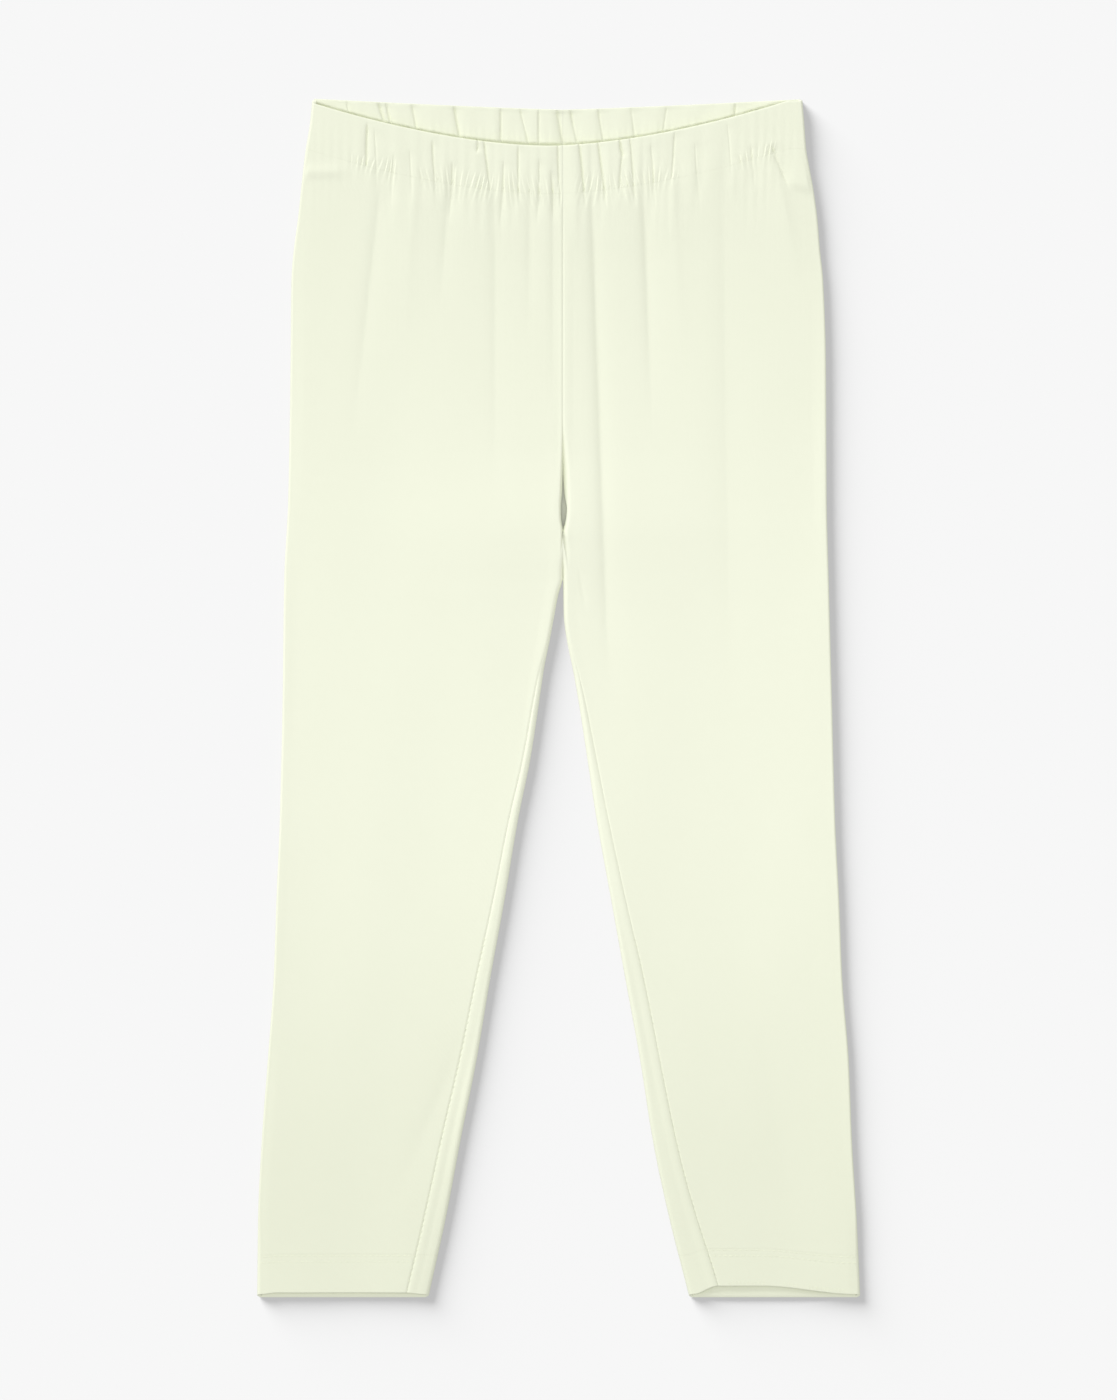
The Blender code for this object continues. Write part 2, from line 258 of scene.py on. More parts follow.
# Folds on the bare inside of the back casing
INSIDE_FOLDS = table(
    "top_across foot_across depth spread",
    (-108.0, -107.0, 0.20, 0.8),
    (-92.5, -89.0, 0.55, 0.9),
    (-88.5, -86.0, 0.40, 0.7),
    (-75.5, -73.0, 0.40, 0.9),
    (-54.5, -51.5, 0.60, 1.0),
    (-31.0, -31.0, 0.35, 1.4),
    (-21.5, -17.0, 0.35, 1.4),
    (-12.1, -12.1, 0.30, 0.4),
    (-3.0, 0.2, 0.90, 1.5),
    (3.6, 7.4, 0.55, 0.8),
    (17.5, 20.4, 0.40, 0.9),
    (34.0, 36.0, 0.20, 1.5),
    (52.0, 50.0, 0.20, 1.6),
    (86.0, 86.0, 0.35, 0.8),
)

# Stretches of the casing's stitch line where fine gathers show
GATHERED = table(
    "start end",
    (-107.0, -83.0),
    (-72.0, -1.0),
    (7.0, 56.5),
    (87.0, 106.0),
)
GATHER_PITCH = 2.7
GATHER_HEIGHT = 0.20

# How deep a fold can sink into the casing's wall
DEEPEST = 1.9

# Stretches of the right front hem's edge where its overlock loops show
HEM_LOOPS = table(
    "start end",
    (83.0, 101.0),
    (111.0, 117.0),
    (123.0, 141.0),
)
HEM_LOOP_PITCH = 1.9

SIDES = {"left": -1, "right": 1}
SEAM_ACROSS = (max(OUTLINE["left_side"]) - max(OUTLINE["right_side"])) / 2


def read(rows, column, at):
    """The column's value at a level, on a smooth curve through the rows that never overshoots them."""
    levels, values = np.array(rows["level"], float), np.array(rows[column], float)
    if at <= levels[0]:
        return values[0]
    if at >= levels[-1]:
        return values[-1]
    steps = np.diff(levels)
    slopes = np.diff(values) / steps
    before, after = slopes[:-1], slopes[1:]
    same_way = before * after > 0
    inner = np.where(same_way, 2 * before * after / np.where(same_way, before + after, 1.0), 0.0)
    tangents = np.concatenate([slopes[:1], inner, slopes[-1:]])
    i = int(np.searchsorted(levels, at, side="right")) - 1
    step = steps[i]
    s = (at - levels[i]) / step
    return (
        values[i] * (1 + 2 * s) * (1 - s) ** 2
        + tangents[i] * step * s * (1 - s) ** 2
        + values[i + 1] * s * s * (3 - 2 * s)
        + tangents[i + 1] * step * s * s * (s - 1)
    )


def ease(value, start, end):
    """0 before start, 1 after end, and an S-curve between them."""
    s = np.clip((value - start) / (end - start), 0.0, 1.0)
    return s * s * (3 - 2 * s)


def front_drop(across):
    share = np.abs(across - FRONT_DROP_CENTRE) / WAIST_HALF_WIDTH
    return np.maximum(FRONT_DROP * (1 - share**FRONT_DROP_POWER), FRONT_DROP_AT_SIDE)


def back_drop(across):
    share = np.abs(across) / WAIST_HALF_WIDTH
    return np.maximum(BACK_DROP * (1 - share**BACK_DROP_POWER), 0.0)


def crease(q):
    """1 at a fold's line, falling off steeply at first on both sides."""
    return np.exp(0.25 - np.sqrt(q * q + 0.0625))


def pinch(distance):
    """1 at the sharp line where cloth is pinched together, 0 beside it."""
    return np.exp(-((distance / 0.42) ** 2))


def long_folds(across, down):
    """The long folds' height. Each is a crease with a soft foot, narrower at its top."""
    total = np.zeros_like(across)
    for top, start, foot, end, height, spread, fades_from in zip(*FOLDS.values()):
        run = (down - start) / (end - start)
        middle = top + (foot - top) * np.maximum(run, 0.0)
        away = np.sign(height) * (across - middle)
        width = spread * (0.7 + 0.4 * np.clip(run, 0.0, 1.0))
        q = away / width / np.where(away > 0, 0.75, 1.9)
        fade = ease(run, -0.2, 0.15) * (1 - ease(run, fades_from, 1.0))
        total += height * fade * crease(q)
    return total


def casing_folds(across, level):
    """The short folds' height, each fading towards its foot."""
    total = np.zeros_like(across)
    for top, start, foot, end, depth, spread in zip(*CASING_FOLDS.values()):
        run = (level - start) / (end - start)
        if -0.2 < run < 1.0:
            middle = top + (foot - top) * run + 0.5 * math.sin(3.0 * run + top)
            fade = ease(level, start - 2.5, start + 2.5) * (1 - ease(run, 0.55, 1.0))
            width = spread * (1 + 0.6 * max(run, 0.0))
            q = (across - middle) / np.where(across < middle, 0.8, 1.6) / width
            total -= depth * fade * (1.7 * crease(q) + 1.5 * pinch(across - middle))
    return DEEPEST * np.tanh(total / DEEPEST)


def soft_puckers(across, level):
    """Wider puckers that hang from the elastic and run out below the casing, uneven in depth."""
    wobble = 0.9 * np.sin(across / 23.0) + 0.6 * np.sin(across / 9.1 + 1.0)
    wide = np.cos(2 * np.pi * across / 8.3 + 2.2 * wobble)
    close = np.cos(2 * np.pi * across / 4.9 + 3.1 * wobble + 0.7 + level / 40.0)
    reach = 52.0 + 16.0 * np.sin(across / 7.0 + 0.4)
    envelope = (0.35 + 0.65 * ease(level, 6.0, 24.0)) * (1 - ease(level, 26.0, reach))
    sides = 1 - 0.75 * ease(np.abs(across), 84.0, 120.0)
    uneven = 0.55 + 0.45 * np.sin(across / 11.7 + 2.0)
    return envelope * sides * (0.14 * wide * uneven + 0.10 * close * (1.2 - uneven))


def patches(across):
    """1 where fine gathers show along the stitch line, 0 between."""
    total = np.zeros_like(across)
    for start, end in zip(*GATHERED.values()):
        total += ease(across, start - 2.0, start + 2.0) * (1 - ease(across, end - 2.0, end + 2.0))
    return total


def fine_gathers(across, level):
    """Tiny slanted gathers over the stitch line, taller in the middle of the front."""
    slant = 0.28 * np.sin(across / 8.0 + 0.6)
    phase = 1.1 * np.sin(across / 3.3) + 0.8 * np.sin(across / 1.9 + 1.3)
    tall = 4.2 + 2.8 * (1 - ease(np.abs(across + 8), 30.0, 90.0)) + 1.0 * np.sin(across / 5.0)
    window = np.exp(-(((level - 23.5) / tall) ** 4))
    turns = 2 * np.pi * (across + slant * (level - 23.0)) / GATHER_PITCH + phase
    wave = np.sin(turns) + 0.5 * np.sin(2 * turns) + 0.25 * np.sin(3 * turns)
    uneven = 0.7 + 0.3 * np.sin(across / 2.3 + 0.5)
    return GATHER_HEIGHT * patches(across) * window * wave * uneven


def side_creases(across, down):
    """The short level creases at both sides, just under the casing."""
    total = np.zeros_like(across)
    for near, far, middle, lean, height, above, below in zip(*SIDE_CREASES.values()):
        run = (across - near) / (far - near)
        reach = ease(run, 0.0, 0.45) * (1 - ease(run, 0.9, 1.05))
        away = down - middle - lean * run
        total += height * reach * np.exp(-((away / np.where(away < 0, above, below)) ** 2))
    return total


def undulation(across, down):
    """The slight unevenness of soft jersey that has been handled."""
    return (
        0.12 * np.sin(across / 17.0 + down / 61.0 + 0.8)
        + 0.09 * np.sin(across / 11.3 - down / 83.0 + 2.1)
        + 0.08 * np.sin(across / 29.0 + down / 27.0)
        + 0.04 * np.sin(across / 6.7 + down / 45.0 + 1.0)
    )


def stitch_rows(level):
    """1 along each of the hem's two rows of stitches, 0 away from them."""
    return sum(math.exp(-(((level - LENGTH + row) / 0.6) ** 2)) for row in HEM_ROWS)


class Section:
    """One cut across half the garment: a flattened loop of cloth, open at its seam.

    Its points are (out, height), out from the centre front seam to the side fold. The loop runs from
    the front seam edge over the front, round the side fold, and along the back to the back seam edge.
    Below the crotch both edges meet at the inseam, which climbs from the inner fold onto the front.
    """

    def __init__(self, side, level):
        name = "left" if side < 0 else "right"
        self.side, self.level = side, level
        self.radius = read(HEIGHT, "middle", level) / 2
        self.side_radius = read(HEIGHT, "side_fold", level) / 2
        self.loft = read(HEIGHT, "loft", level)
        pressed = 0.85 + 0.15 * ease(level, CASING_DEPTH, 40.0)
        pressed *= 1 - 0.9 * ease(level, 555.0, LENGTH - HEM_DEPTH)
        self.side_reach = self.side_radius + (SIDE_FOLD_REACH - self.side_radius) * pressed
        self.side_centre = read(OUTLINE, f"{name}_side", level) - self.side_reach
        self.inner = read(INNER_LEG, f"{name}_edge", level)
        self.roll = self.valley = 0.0
        half_gap = SEAM_GAP / 2
        if level > CROTCH_LEVEL:
            self.seam = read(INNER_LEG, f"{name}_seam", level)
            turned = min(self.seam / self.radius, 1.0)
            seam_angle = math.acos(1 - turned)
            self.front_angle = seam_angle + half_gap / self.radius
            self.back_angle = seam_angle - half_gap / self.radius
            self.front_centre = self.back_centre = self.inner + self.radius
        else:
            self.seam = 0.0
            self.valley = read(CROTCH, "valley", level)
            self.valley_edge = read(CROTCH, f"{name}_edge", level)
            opened = read(CROTCH, "open", level) * (1 + 0.3 * side)
            self.roll = min(max(read(CROTCH, "front_roll", level), 0.0), 1.0)
            lift = min(max(read(CROTCH, "back_roll", level), 0.0), 1.0)
            self.front_angle = math.pi / 2 * (1 - self.roll) + half_gap / self.radius * self.roll
            self.back_angle = -math.pi / 2 * (1 - lift) - half_gap / self.radius * lift
            self.front_centre = self.inner + opened + self.radius * math.cos(self.front_angle)
            self.back_centre = self.inner + self.radius * math.cos(self.back_angle)
        self.on_front = self.seam > self.radius
        index = HEM["side"].index(side)
        self.rise, self.ends = HEM["rise"][index], HEM["ends"][index]
        self.up_at, self.down_from = HEM["up_at"][index], HEM["down_from"][index]
        self.swell = HEM["swell"][index]

    def share(self, out):
        """How far a place is from the middle edge, 0, to the side fold, 1."""
        return np.clip((out - self.front_centre) / (self.side_centre - self.front_centre), 0.0, 1.0)

    def shift(self, out, front):
        """How far down the garment a point lies beyond its level. front is 1 on the front, 0 on the back."""
        across = self.side * out
        drop = front * front_drop(across) + (1 - front) * back_drop(across)
        waist = drop * (1 - ease(self.level, CASING_DEPTH, DROP_ENDS_LEVEL))
        s = self.share(out)
        up = ease(s, 0.0, self.up_at) * (1 - ease(s, self.down_from, 1.0))
        rise = self.ends + (self.rise - self.ends) * up
        return waist - front * rise * ease(self.level, HEM_RISE_STARTS, LENGTH)

    def front_relief(self, out):
        """Folds, gathers and seams of the front, as a height over its plain swell."""
        across = self.side * out
        level = self.level
        down = level + self.shift(out, 1.0)
        s = self.share(out)
        edges = ease(s, 0.0, 0.04) * (1 - ease(s, 0.95, 1.0))
        relief = edges * (long_folds(across, down) + undulation(across, down))
        if level < GATHERS_END:
            above = 1 - ease(s, 0.97, 1.0)
            relief += above * (casing_folds(across, level) + soft_puckers(across, level))
            relief += above * fine_gathers(across, level)
            relief += (1 - ease(s, 0.985, 1.0)) * side_creases(across, down)
        if level <= CROTCH_LEVEL:
            near = out - self.inner
            shown = (1 - self.roll) * (0.4 + 0.6 * ease(level, CASING_DEPTH, 40.0))
            relief -= shown * 0.26 * np.exp(-((near / 0.5) ** 2))
            relief += shown * self.side * 0.10 * np.exp(-(((near - 2.6) / 1.6) ** 2))
            fall = 1 - near / self.valley_edge
            relief -= self.valley * np.minimum(0.5 * (fall + np.sqrt(fall * fall + 0.09)), 1.0)
            if self.side < 0:
                relief += 0.06 * self.valley * np.exp(-(((near - self.valley_edge) / 4.0) ** 2))
        elif self.on_front:
            near = out - self.inner - self.seam
            relief -= 0.28 * np.exp(-((near / 0.55) ** 2))
            relief += 0.14 * np.exp(-(((near + 2.2) / 1.5) ** 2))
            relief -= 0.08 * np.exp(-(((near + 5.2) / 0.9) ** 2))
        if level > LENGTH - HEM_DEPTH - 6.0:
            turned_up = ease(level, LENGTH - HEM_DEPTH - 3.0, LENGTH - HEM_DEPTH + 1.0)
            rows = stitch_rows(level)
            relief += edges * (0.05 * turned_up - 0.05 * rows)
            relief += edges * 0.03 * rows * np.cos(2 * np.pi * across / STITCH_PITCH)
        return relief

    def back_relief(self, out):
        """Shallow hollows of the underside, which still rests on the surface between them."""
        across = self.side * out
        level = self.level
        waves = 0.5 + 0.5 * np.sin(across / 13.0 + 1.2 * np.sin(level / 70.0))
        relief = 0.10 * waves * (0.5 + 0.5 * np.sin(level / 31.0 + across / 40.0))
        if level < GATHERS_END:
            depth = 0.35 * (1 - ease(level, 24.0, 80.0)) + 0.15
            wobble = 1.1 * np.sin(across / 17.0)
            relief += depth * (0.5 + 0.5 * np.cos(2 * np.pi * across / 7.2 + 2.0 * wobble)) ** 2
            relief += 0.25 * math.exp(-(((level - ZIGZAG_LEVEL) / 0.7) ** 2))
        if level > LENGTH - HEM_DEPTH - 3.0:
            relief += 0.22 * stitch_rows(level)
        s = self.share(out)
        return relief * ease(s, 0.0, 0.05) * (1 - ease(s, 0.93, 1.0))

    def top(self, out):
        """Points of the front."""
        s = self.share(out)
        height = 2 * (self.radius * (1 - s) + self.side_radius * s)
        height = height + self.loft * (1 - (2 * s - 1) ** 2)
        height = height + self.swell * (1 - (2 * s - 1) ** 2) * ease(self.level, HEM_RISE_STARTS, LENGTH)
        height = height + self.front_relief(out)
        return points(out, height, 0.0, 1.0, 1.0)

    def bottom(self, out):
        return points(out, self.back_relief(out), 0.0, -1.0, 0.0)

    def turn(self, centre, radius, angle, facing):
        """Points of a rounded edge. The angle is 0 at the edge itself and a quarter turn at the top."""
        across, up = facing * np.cos(angle), np.sin(angle)
        reach = self.side_reach if facing > 0 else radius
        return points(centre + reach * across, radius * (1 + up), across, up, (1 + up) / 2)

    def front_edge(self, distance):
        """Points this far from the front seam edge, along the cloth."""
        if self.on_front:
            return self.top(self.inner + self.seam + SEAM_GAP / 2 + distance)
        arc = (math.pi / 2 - self.front_angle) * self.radius
        rolled = self.turn(self.front_centre, self.radius, self.front_angle + distance / self.radius, -1)
        return np.where(distance < arc, rolled, self.top(self.front_centre + distance - arc))

    def back_edge(self, distance):
        """Points this far past the end of the back's flat run, towards the back seam edge."""
        angle = (distance - EDGE_RUN) / self.radius - math.pi / 2
        flat = self.bottom(self.back_centre + EDGE_RUN - distance)
        rolled = self.turn(self.back_centre, self.radius, angle, -1)
        over = self.top(self.back_centre + (angle - math.pi / 2) * self.radius)
        found = np.where(distance < EDGE_RUN, flat, rolled)
        return np.where(angle < math.pi / 2, found, over)

    def loop(self, counts):
        """Every column's point, outward direction and share of the front, from edge to edge."""
        arc = 0.0 if self.on_front else (math.pi / 2 - self.front_angle) * self.radius
        start = arc + EDGE_RUN
        roll = self.front_edge(start * steps(counts["roll"]) ** 1.4)
        first = self.front_edge(np.array([start]))[0, 0]
        front = self.top(first + (self.side_centre - first) * steps(counts["front"]))
        angle = math.pi / 2 - math.pi * steps(counts["side"])
        side = self.turn(self.side_centre, self.side_radius, angle, 1)
        last = self.back_centre + EDGE_RUN
        back = self.bottom(self.side_centre + (last - self.side_centre) * steps(counts["back"]))
        if self.on_front:
            corner = EDGE_RUN + math.pi * self.radius
            end = corner + self.inner + self.seam - SEAM_GAP / 2 - self.back_centre
        else:
            end = EDGE_RUN + (self.back_angle + math.pi / 2) * self.radius
            corner = end - 0.4
        turn = self.back_edge(corner * steps(counts["turn"]))
        spread = 1 - (1 - np.append(steps(counts["return"]), 1.0)) ** 1.5
        seam = self.back_edge(corner + (end - corner) * spread)
        return np.concatenate([roll, front, side, back, turn, seam], axis=1)

    def place(self, out, height, front):
        """Where points lie, in metres: across, along and up."""
        across = SEAM_ACROSS + self.side * out
        along = LENGTH / 2 - self.level - self.shift(out, front)
        return np.stack(np.broadcast_arrays(across, along, height)) * MM


def points(out, height, lean, up, front):
    """Rows of out, height, outward direction and share of the front, one column a point."""
    return np.stack(np.broadcast_arrays(out, height, lean, up, front)).astype(float)


def steps(count):
    return np.arange(count) / count


def inside_relief(section, out, front):
    """How much thicker the casing is: its bare back inside has folds of its own, its front inside none."""
    across = section.side * out
    drop = front_drop(across) - back_drop(across)
    bare = drop - section.level
    run = np.clip(section.level / np.maximum(drop, 1.0), 0.0, 1.0)
    relief = 0.05 * np.cos(2 * np.pi * across / 5.6 + 1.5 * np.sin(across / 9.0)) * run * run
    relief += 0.06 * np.cos(2 * np.pi * across / 3.1 + 1.2 * np.sin(across / 4.0)) * run**3
    relief += 0.10 * np.cos(2 * np.pi * across / 17.0 + 0.6 + 1.4 * np.sin(across / 31.0))
    for top, foot, depth, spread in zip(*INSIDE_FOLDS.values()):
        middle = top + (foot - top) * run
        widen = spread * (1 + 0.5 * run)
        q = (across - middle) / np.where(across < middle, 0.9, 1.7) / widen
        relief -= depth * (1.6 * crease(q) + 2.1 * pinch(across - middle))
    relief *= ease(bare, -4.0, 1.0) * ease(section.level, 0.0, 2.5)
    wobble = np.sin(across / 1.7 + 3 * np.sin(across / 11.0))
    lowest = np.exp(-(((across + 15) / 26.0) ** 2))
    pressed = 1.9 + 0.9 * lowest + 0.5 * wobble - 0.6 * ease(across, 5.0, 40.0)
    width = 0.60 + 0.28 * lowest
    relief -= pressed * np.exp(-(((bare - 0.15) / width) ** 2)) * ease(section.level, 0.5, 3.0)
    relief = DEEPEST * np.tanh((relief - section.back_relief(out)) / DEEPEST)
    return (1 - front) * relief + front * casing_folds(across, section.level)


def hem_lip(section, out, front):
    """How much the turned edge of the back hem is raised on the inside, where the front leaves it bare."""
    return (1 - front) * 0.4 * math.exp(-(((LENGTH - section.level - 1.7) / 1.2) ** 2))


def rounded(distance, wall):
    """How far each face draws in towards the other, this far from a turned edge."""
    half, run = wall / 2, 0.2 * wall
    if distance >= run:
        return 0.0
    return half * (1 - math.sqrt(max(1 - (1 - distance / run) ** 2, 0.0)))


def cloth_wall(name, side, levels, counts, wall, pinches, inside=None):
    """A piece of cloth between two faces: a grid doubled into a thin closed wall, then set in place."""
    cuts = [Section(side, level) for level in levels]
    loops = [cut.loop(counts) for cut in cuts]
    columns, rows = loops[0].shape[1] - 1, len(levels) - 1
    shape = bmesh.new()
    bmesh.ops.create_grid(shape, x_segments=columns, y_segments=rows, size=1.0)
    doubled = bmesh.ops.extrude_face_region(shape, geom=shape.faces[:], use_keep_orig=True)
    inner = [item for item in doubled["geom"] if isinstance(item, bmesh.types.BMVert)]
    bmesh.ops.translate(shape, verts=inner, vec=(0.0, 0.0, -1.0))
    bmesh.ops.recalc_face_normals(shape, faces=shape.faces[:])
    if side > 0:
        bmesh.ops.reverse_faces(shape, faces=shape.faces[:])
    mesh = bpy.data.meshes.new(name)
    shape.to_mesh(mesh)
    shape.free()

    outer_face, inner_face, lengths = [], [], []
    for cut, loop, pinch in zip(cuts, loops, pinches):
        out, height, lean, up, front = loop
        depth = wall - pinch
        if inside:
            depth = depth + inside(cut, out, front) * (1 - pinch / (wall / 2))
        outer_face.append(cut.place(out - lean * pinch, height - up * pinch, front))
        inner_face.append(cut.place(out - lean * depth, height - up * depth, front))
        run = np.hypot(np.diff(out), np.diff(height))
        lengths.append(np.concatenate([[0.0], np.cumsum(run)]) * MM)
    faces = np.stack([np.stack(outer_face), np.stack(inner_face)])

    found = np.empty(len(mesh.vertices) * 3)
    mesh.vertices.foreach_get("co", found)
    found = found.reshape(-1, 3)
    column = np.rint((found[:, 0] + 1) / 2 * columns).astype(int)
    row = np.rint((found[:, 1] + 1) / 2 * rows).astype(int)
    layer = (found[:, 2] < -0.5).astype(int)
    mesh.vertices.foreach_set("co", faces[layer, row, :, column].ravel())

    flat = np.stack([np.stack(lengths)[row, column], -np.array(levels)[row] * MM], axis=1)
    corner = np.empty(len(mesh.loops), int)
    mesh.loops.foreach_get("vertex_index", corner)
    layer_uv = mesh.uv_layers.new(name="cloth")
    layer_uv.data.foreach_set("uv", flat[corner].ravel())
    mesh.shade_smooth()
    mesh.update()
    piece = bpy.data.objects.new(name, mesh)
    bpy.context.scene.collection.objects.link(piece)
    return piece


# How many columns of faces each stretch of a piece has, from its front edge round to its back edge
LEG_COLUMNS = {"roll": 18, "front": 250, "side": 8, "back": 64, "turn": 10, "return": 12}
CASING_COLUMNS = {"roll": 8, "front": 600, "side": 10, "back": 340, "turn": 4, "return": 2}
HEM_COLUMNS = {"roll": 6, "front": 110, "side": 10, "back": 60, "turn": 10, "return": 12}

# How far apart the rows of faces are down a leg, closest where its folds and its crotch need them
LEG_ROWS = table(
    "start end step",
    (25.5, 60.0, 1.5),
    (60.0, 172.0, 5.0),
    (172.0, 200.0, 3.5),
    (200.0, 220.0, 2.0),
    (220.0, 270.0, 2.9),
    (270.0, 560.0, 8.0),
)

# A narrow row of faces keeps each cut edge crisp
EDGE_ROW = 0.05


def leg(name, side):
    """One leg, cut in one piece with its half of the seat, from the casing's seam to the hem's."""
    levels = np.concatenate([
        CASING_DEPTH + SEAM_GAP + np.array([0.0, EDGE_ROW]),
        *[np.arange(*stretch) for stretch in zip(*LEG_ROWS.values())],
        np.linspace(560.0, LENGTH - HEM_DEPTH - EDGE_ROW, 9),
        [LENGTH - HEM_DEPTH],
    ])
    pinches = [0.0] * len(levels)
    return cloth_wall(name, side, levels, LEG_COLUMNS, CLOTH, pinches)


def casing(name, side):
    """Half the waist casing, turned down over its elastic and gathered by it."""
    levels = np.concatenate([
        [0.0, 0.02, 0.06, 0.15, 0.28, 0.45, 1.2],
        np.linspace(2.1, CASING_DEPTH - EDGE_ROW, 38),
        [CASING_DEPTH],
    ])
    pinches = [rounded(level, CASING_WALL) for level in levels]
    return cloth_wall(name, side, levels, CASING_COLUMNS, CASING_WALL, pinches, inside_relief)


def hem(name, side):
    """The turned-up hem of one leg."""
    top = LENGTH - HEM_DEPTH + SEAM_GAP
    levels = np.concatenate([
        [top],
        np.linspace(top + EDGE_ROW, LENGTH - 1.8, 22),
        LENGTH - np.array([1.0, 0.52, 0.33, 0.18, 0.08, 0.02, 0.0]),
    ])
    pinches = [rounded(LENGTH - level, HEM_WALL) for level in levels]
    return cloth_wall(name, side, levels, HEM_COLUMNS, HEM_WALL, pinches, hem_lip)


def on_front(side, level, outs, lift):
    """Points a little over the front of the cloth, one for each place across."""
    section = Section(side, level)
    height = section.top(outs)[1]
    return section.place(outs, height + lift, 1.0).T


def on_back(side, level, outs, lift):
    """Points in the underside's stitch grooves."""
    section = Section(side, level)
    height = section.bottom(outs)[1]
    return section.place(outs, np.maximum(height - lift, THREAD_RADIUS), 0.0).T


def thread(name, runs, radius=THREAD_RADIUS):
    """Sewing thread along each run of points, as one mesh."""
    curve = bpy.data.curves.new(name, "CURVE")
    curve.dimensions = "3D"
    curve.bevel_depth = radius * MM
    curve.bevel_resolution = 1
    curve.use_fill_caps = True
    for run in runs:
        spline = curve.splines.new("POLY")
        spline.points.add(len(run) - 1)
        spline.points.foreach_set("co", np.column_stack([run, np.ones(len(run))]).ravel())
    guide = bpy.data.objects.new(name + "_guide", curve)
    bpy.context.scene.collection.objects.link(guide)
    graph = bpy.context.evaluated_depsgraph_get()
    mesh = bpy.data.meshes.new_from_object(guide.evaluated_get(graph))
    bpy.data.objects.remove(guide, do_unlink=True)
    mesh.name = name
    mesh.shade_smooth()
    piece = bpy.data.objects.new(name, mesh)
    bpy.context.scene.collection.objects.link(piece)
    return piece


def zigzag(name, side):
    """The elastic's zigzag row, all round half the casing."""
    runs = []
    side_centre = Section(side, ZIGZAG_LEVEL).side_centre
    for place, clear in ((on_front, 1.0), (on_back, 3.0)):
        last = side_centre - clear
        count = int((last - clear) / ZIGZAG_STEP)
        outs = np.linspace(clear, last, count)
        above = place(side, ZIGZAG_LEVEL - ZIGZAG_HALF_WIDTH, outs, -ZIGZAG_SINK)
        below = place(side, ZIGZAG_LEVEL + ZIGZAG_HALF_WIDTH, outs, -ZIGZAG_SINK)
        odd = (np.arange(count) % 2 == 1)[:, None]
        runs.append(np.where(odd, above, below))
    return thread(name, runs, FINE_THREAD_RADIUS)


def cover_stitch(name, side):
    """The hem's two rows of short stitches, all round the leg."""
    runs = []
    for row in HEM_ROWS:
        level = LENGTH - row
        section = Section(side, level)
        for start in np.arange(section.inner + section.seam + 1.5, section.side_centre, STITCH_PITCH):
            outs = start + np.array([0.0, 0.35, 1.1, 1.85, 2.2])
            run = on_front(side, level, outs, THREAD_LIFT)
            run[[0, -1], 2] -= 0.16 * MM
            runs.append(run)
        first = section.inner + section.radius + 2.0
        for start in np.arange(first, section.side_centre - 3.0, STITCH_PITCH):
            outs = start + np.array([0.0, 0.4, 1.8, 2.2])
            runs.append(on_back(side, level, outs, THREAD_LIFT))
    return thread(name, runs)


def seam_ticks(name, side):
    """Short stitches that show across the inseam where it lies on the front."""
    runs = []
    for level in np.arange(TICKS_START, LENGTH - 3.0, TICK_PITCH):
        section = Section(side, level)
        if section.on_front:
            outs = section.inner + section.seam + np.array([-0.9, -0.45, 0.0, 0.45, 0.9])
            run = on_front(side, level, outs, 0.02)
            run[:, 1] += np.linspace(0.35, -0.35, 5) * MM
            run[2, 2] += 0.16 * MM
            runs.append(run)
    return thread(name, runs, FINE_THREAD_RADIUS)


def hem_loops(name, side):
    """Loops of thread that show along stretches of the front hem's edge."""
    runs = []
    for start, end in zip(*HEM_LOOPS.values()):
        for out in np.arange(start, end, HEM_LOOP_PITCH):
            top = on_front(side, LENGTH - 2.6, np.array([out - 0.5]), 0.0)[0]
            over = on_front(side, LENGTH - 1.2, np.array([out - 0.1]), THREAD_LIFT)[0]
            edge = on_front(side, LENGTH - 0.05, np.array([out + 0.3]), -0.35)[0]
            under = on_front(side, LENGTH - 0.3, np.array([out + 0.6]), -1.2)[0]
            runs.append(np.stack([top, over, edge, under]))
    return thread(name, runs, LOOP_THREAD_RADIUS)


class Value:
    """A shader value that takes part in sums like a number."""

    def __init__(self, shader, socket):
        self.shader, self.socket = shader, socket

    def maths(self, operation, *values):
        return self.shader.node("ShaderNodeMath", {"operation": operation}, dict(enumerate(values)))

    def __add__(self, other):
        return self.maths("ADD", self, other)

    def __radd__(self, other):
        return self.maths("ADD", other, self)

    def __sub__(self, other):
        return self.maths("SUBTRACT", self, other)

    def __rsub__(self, other):
        return self.maths("SUBTRACT", other, self)

    def __mul__(self, other):
        return self.maths("MULTIPLY", self, other)

    def __rmul__(self, other):
        return self.maths("MULTIPLY", other, self)

    def __truediv__(self, other):
        return self.maths("DIVIDE", self, other)

    def __rtruediv__(self, other):
        return self.maths("DIVIDE", other, self)

    def wave(self):
        """A cosine of this many turns."""
        return self.maths("COSINE", self * (2 * math.pi))

    def sawtooth(self):
        """Up from 0 to 1 and down again, once a turn."""
        return self.maths("PINGPONG", self * 2, 1.0)


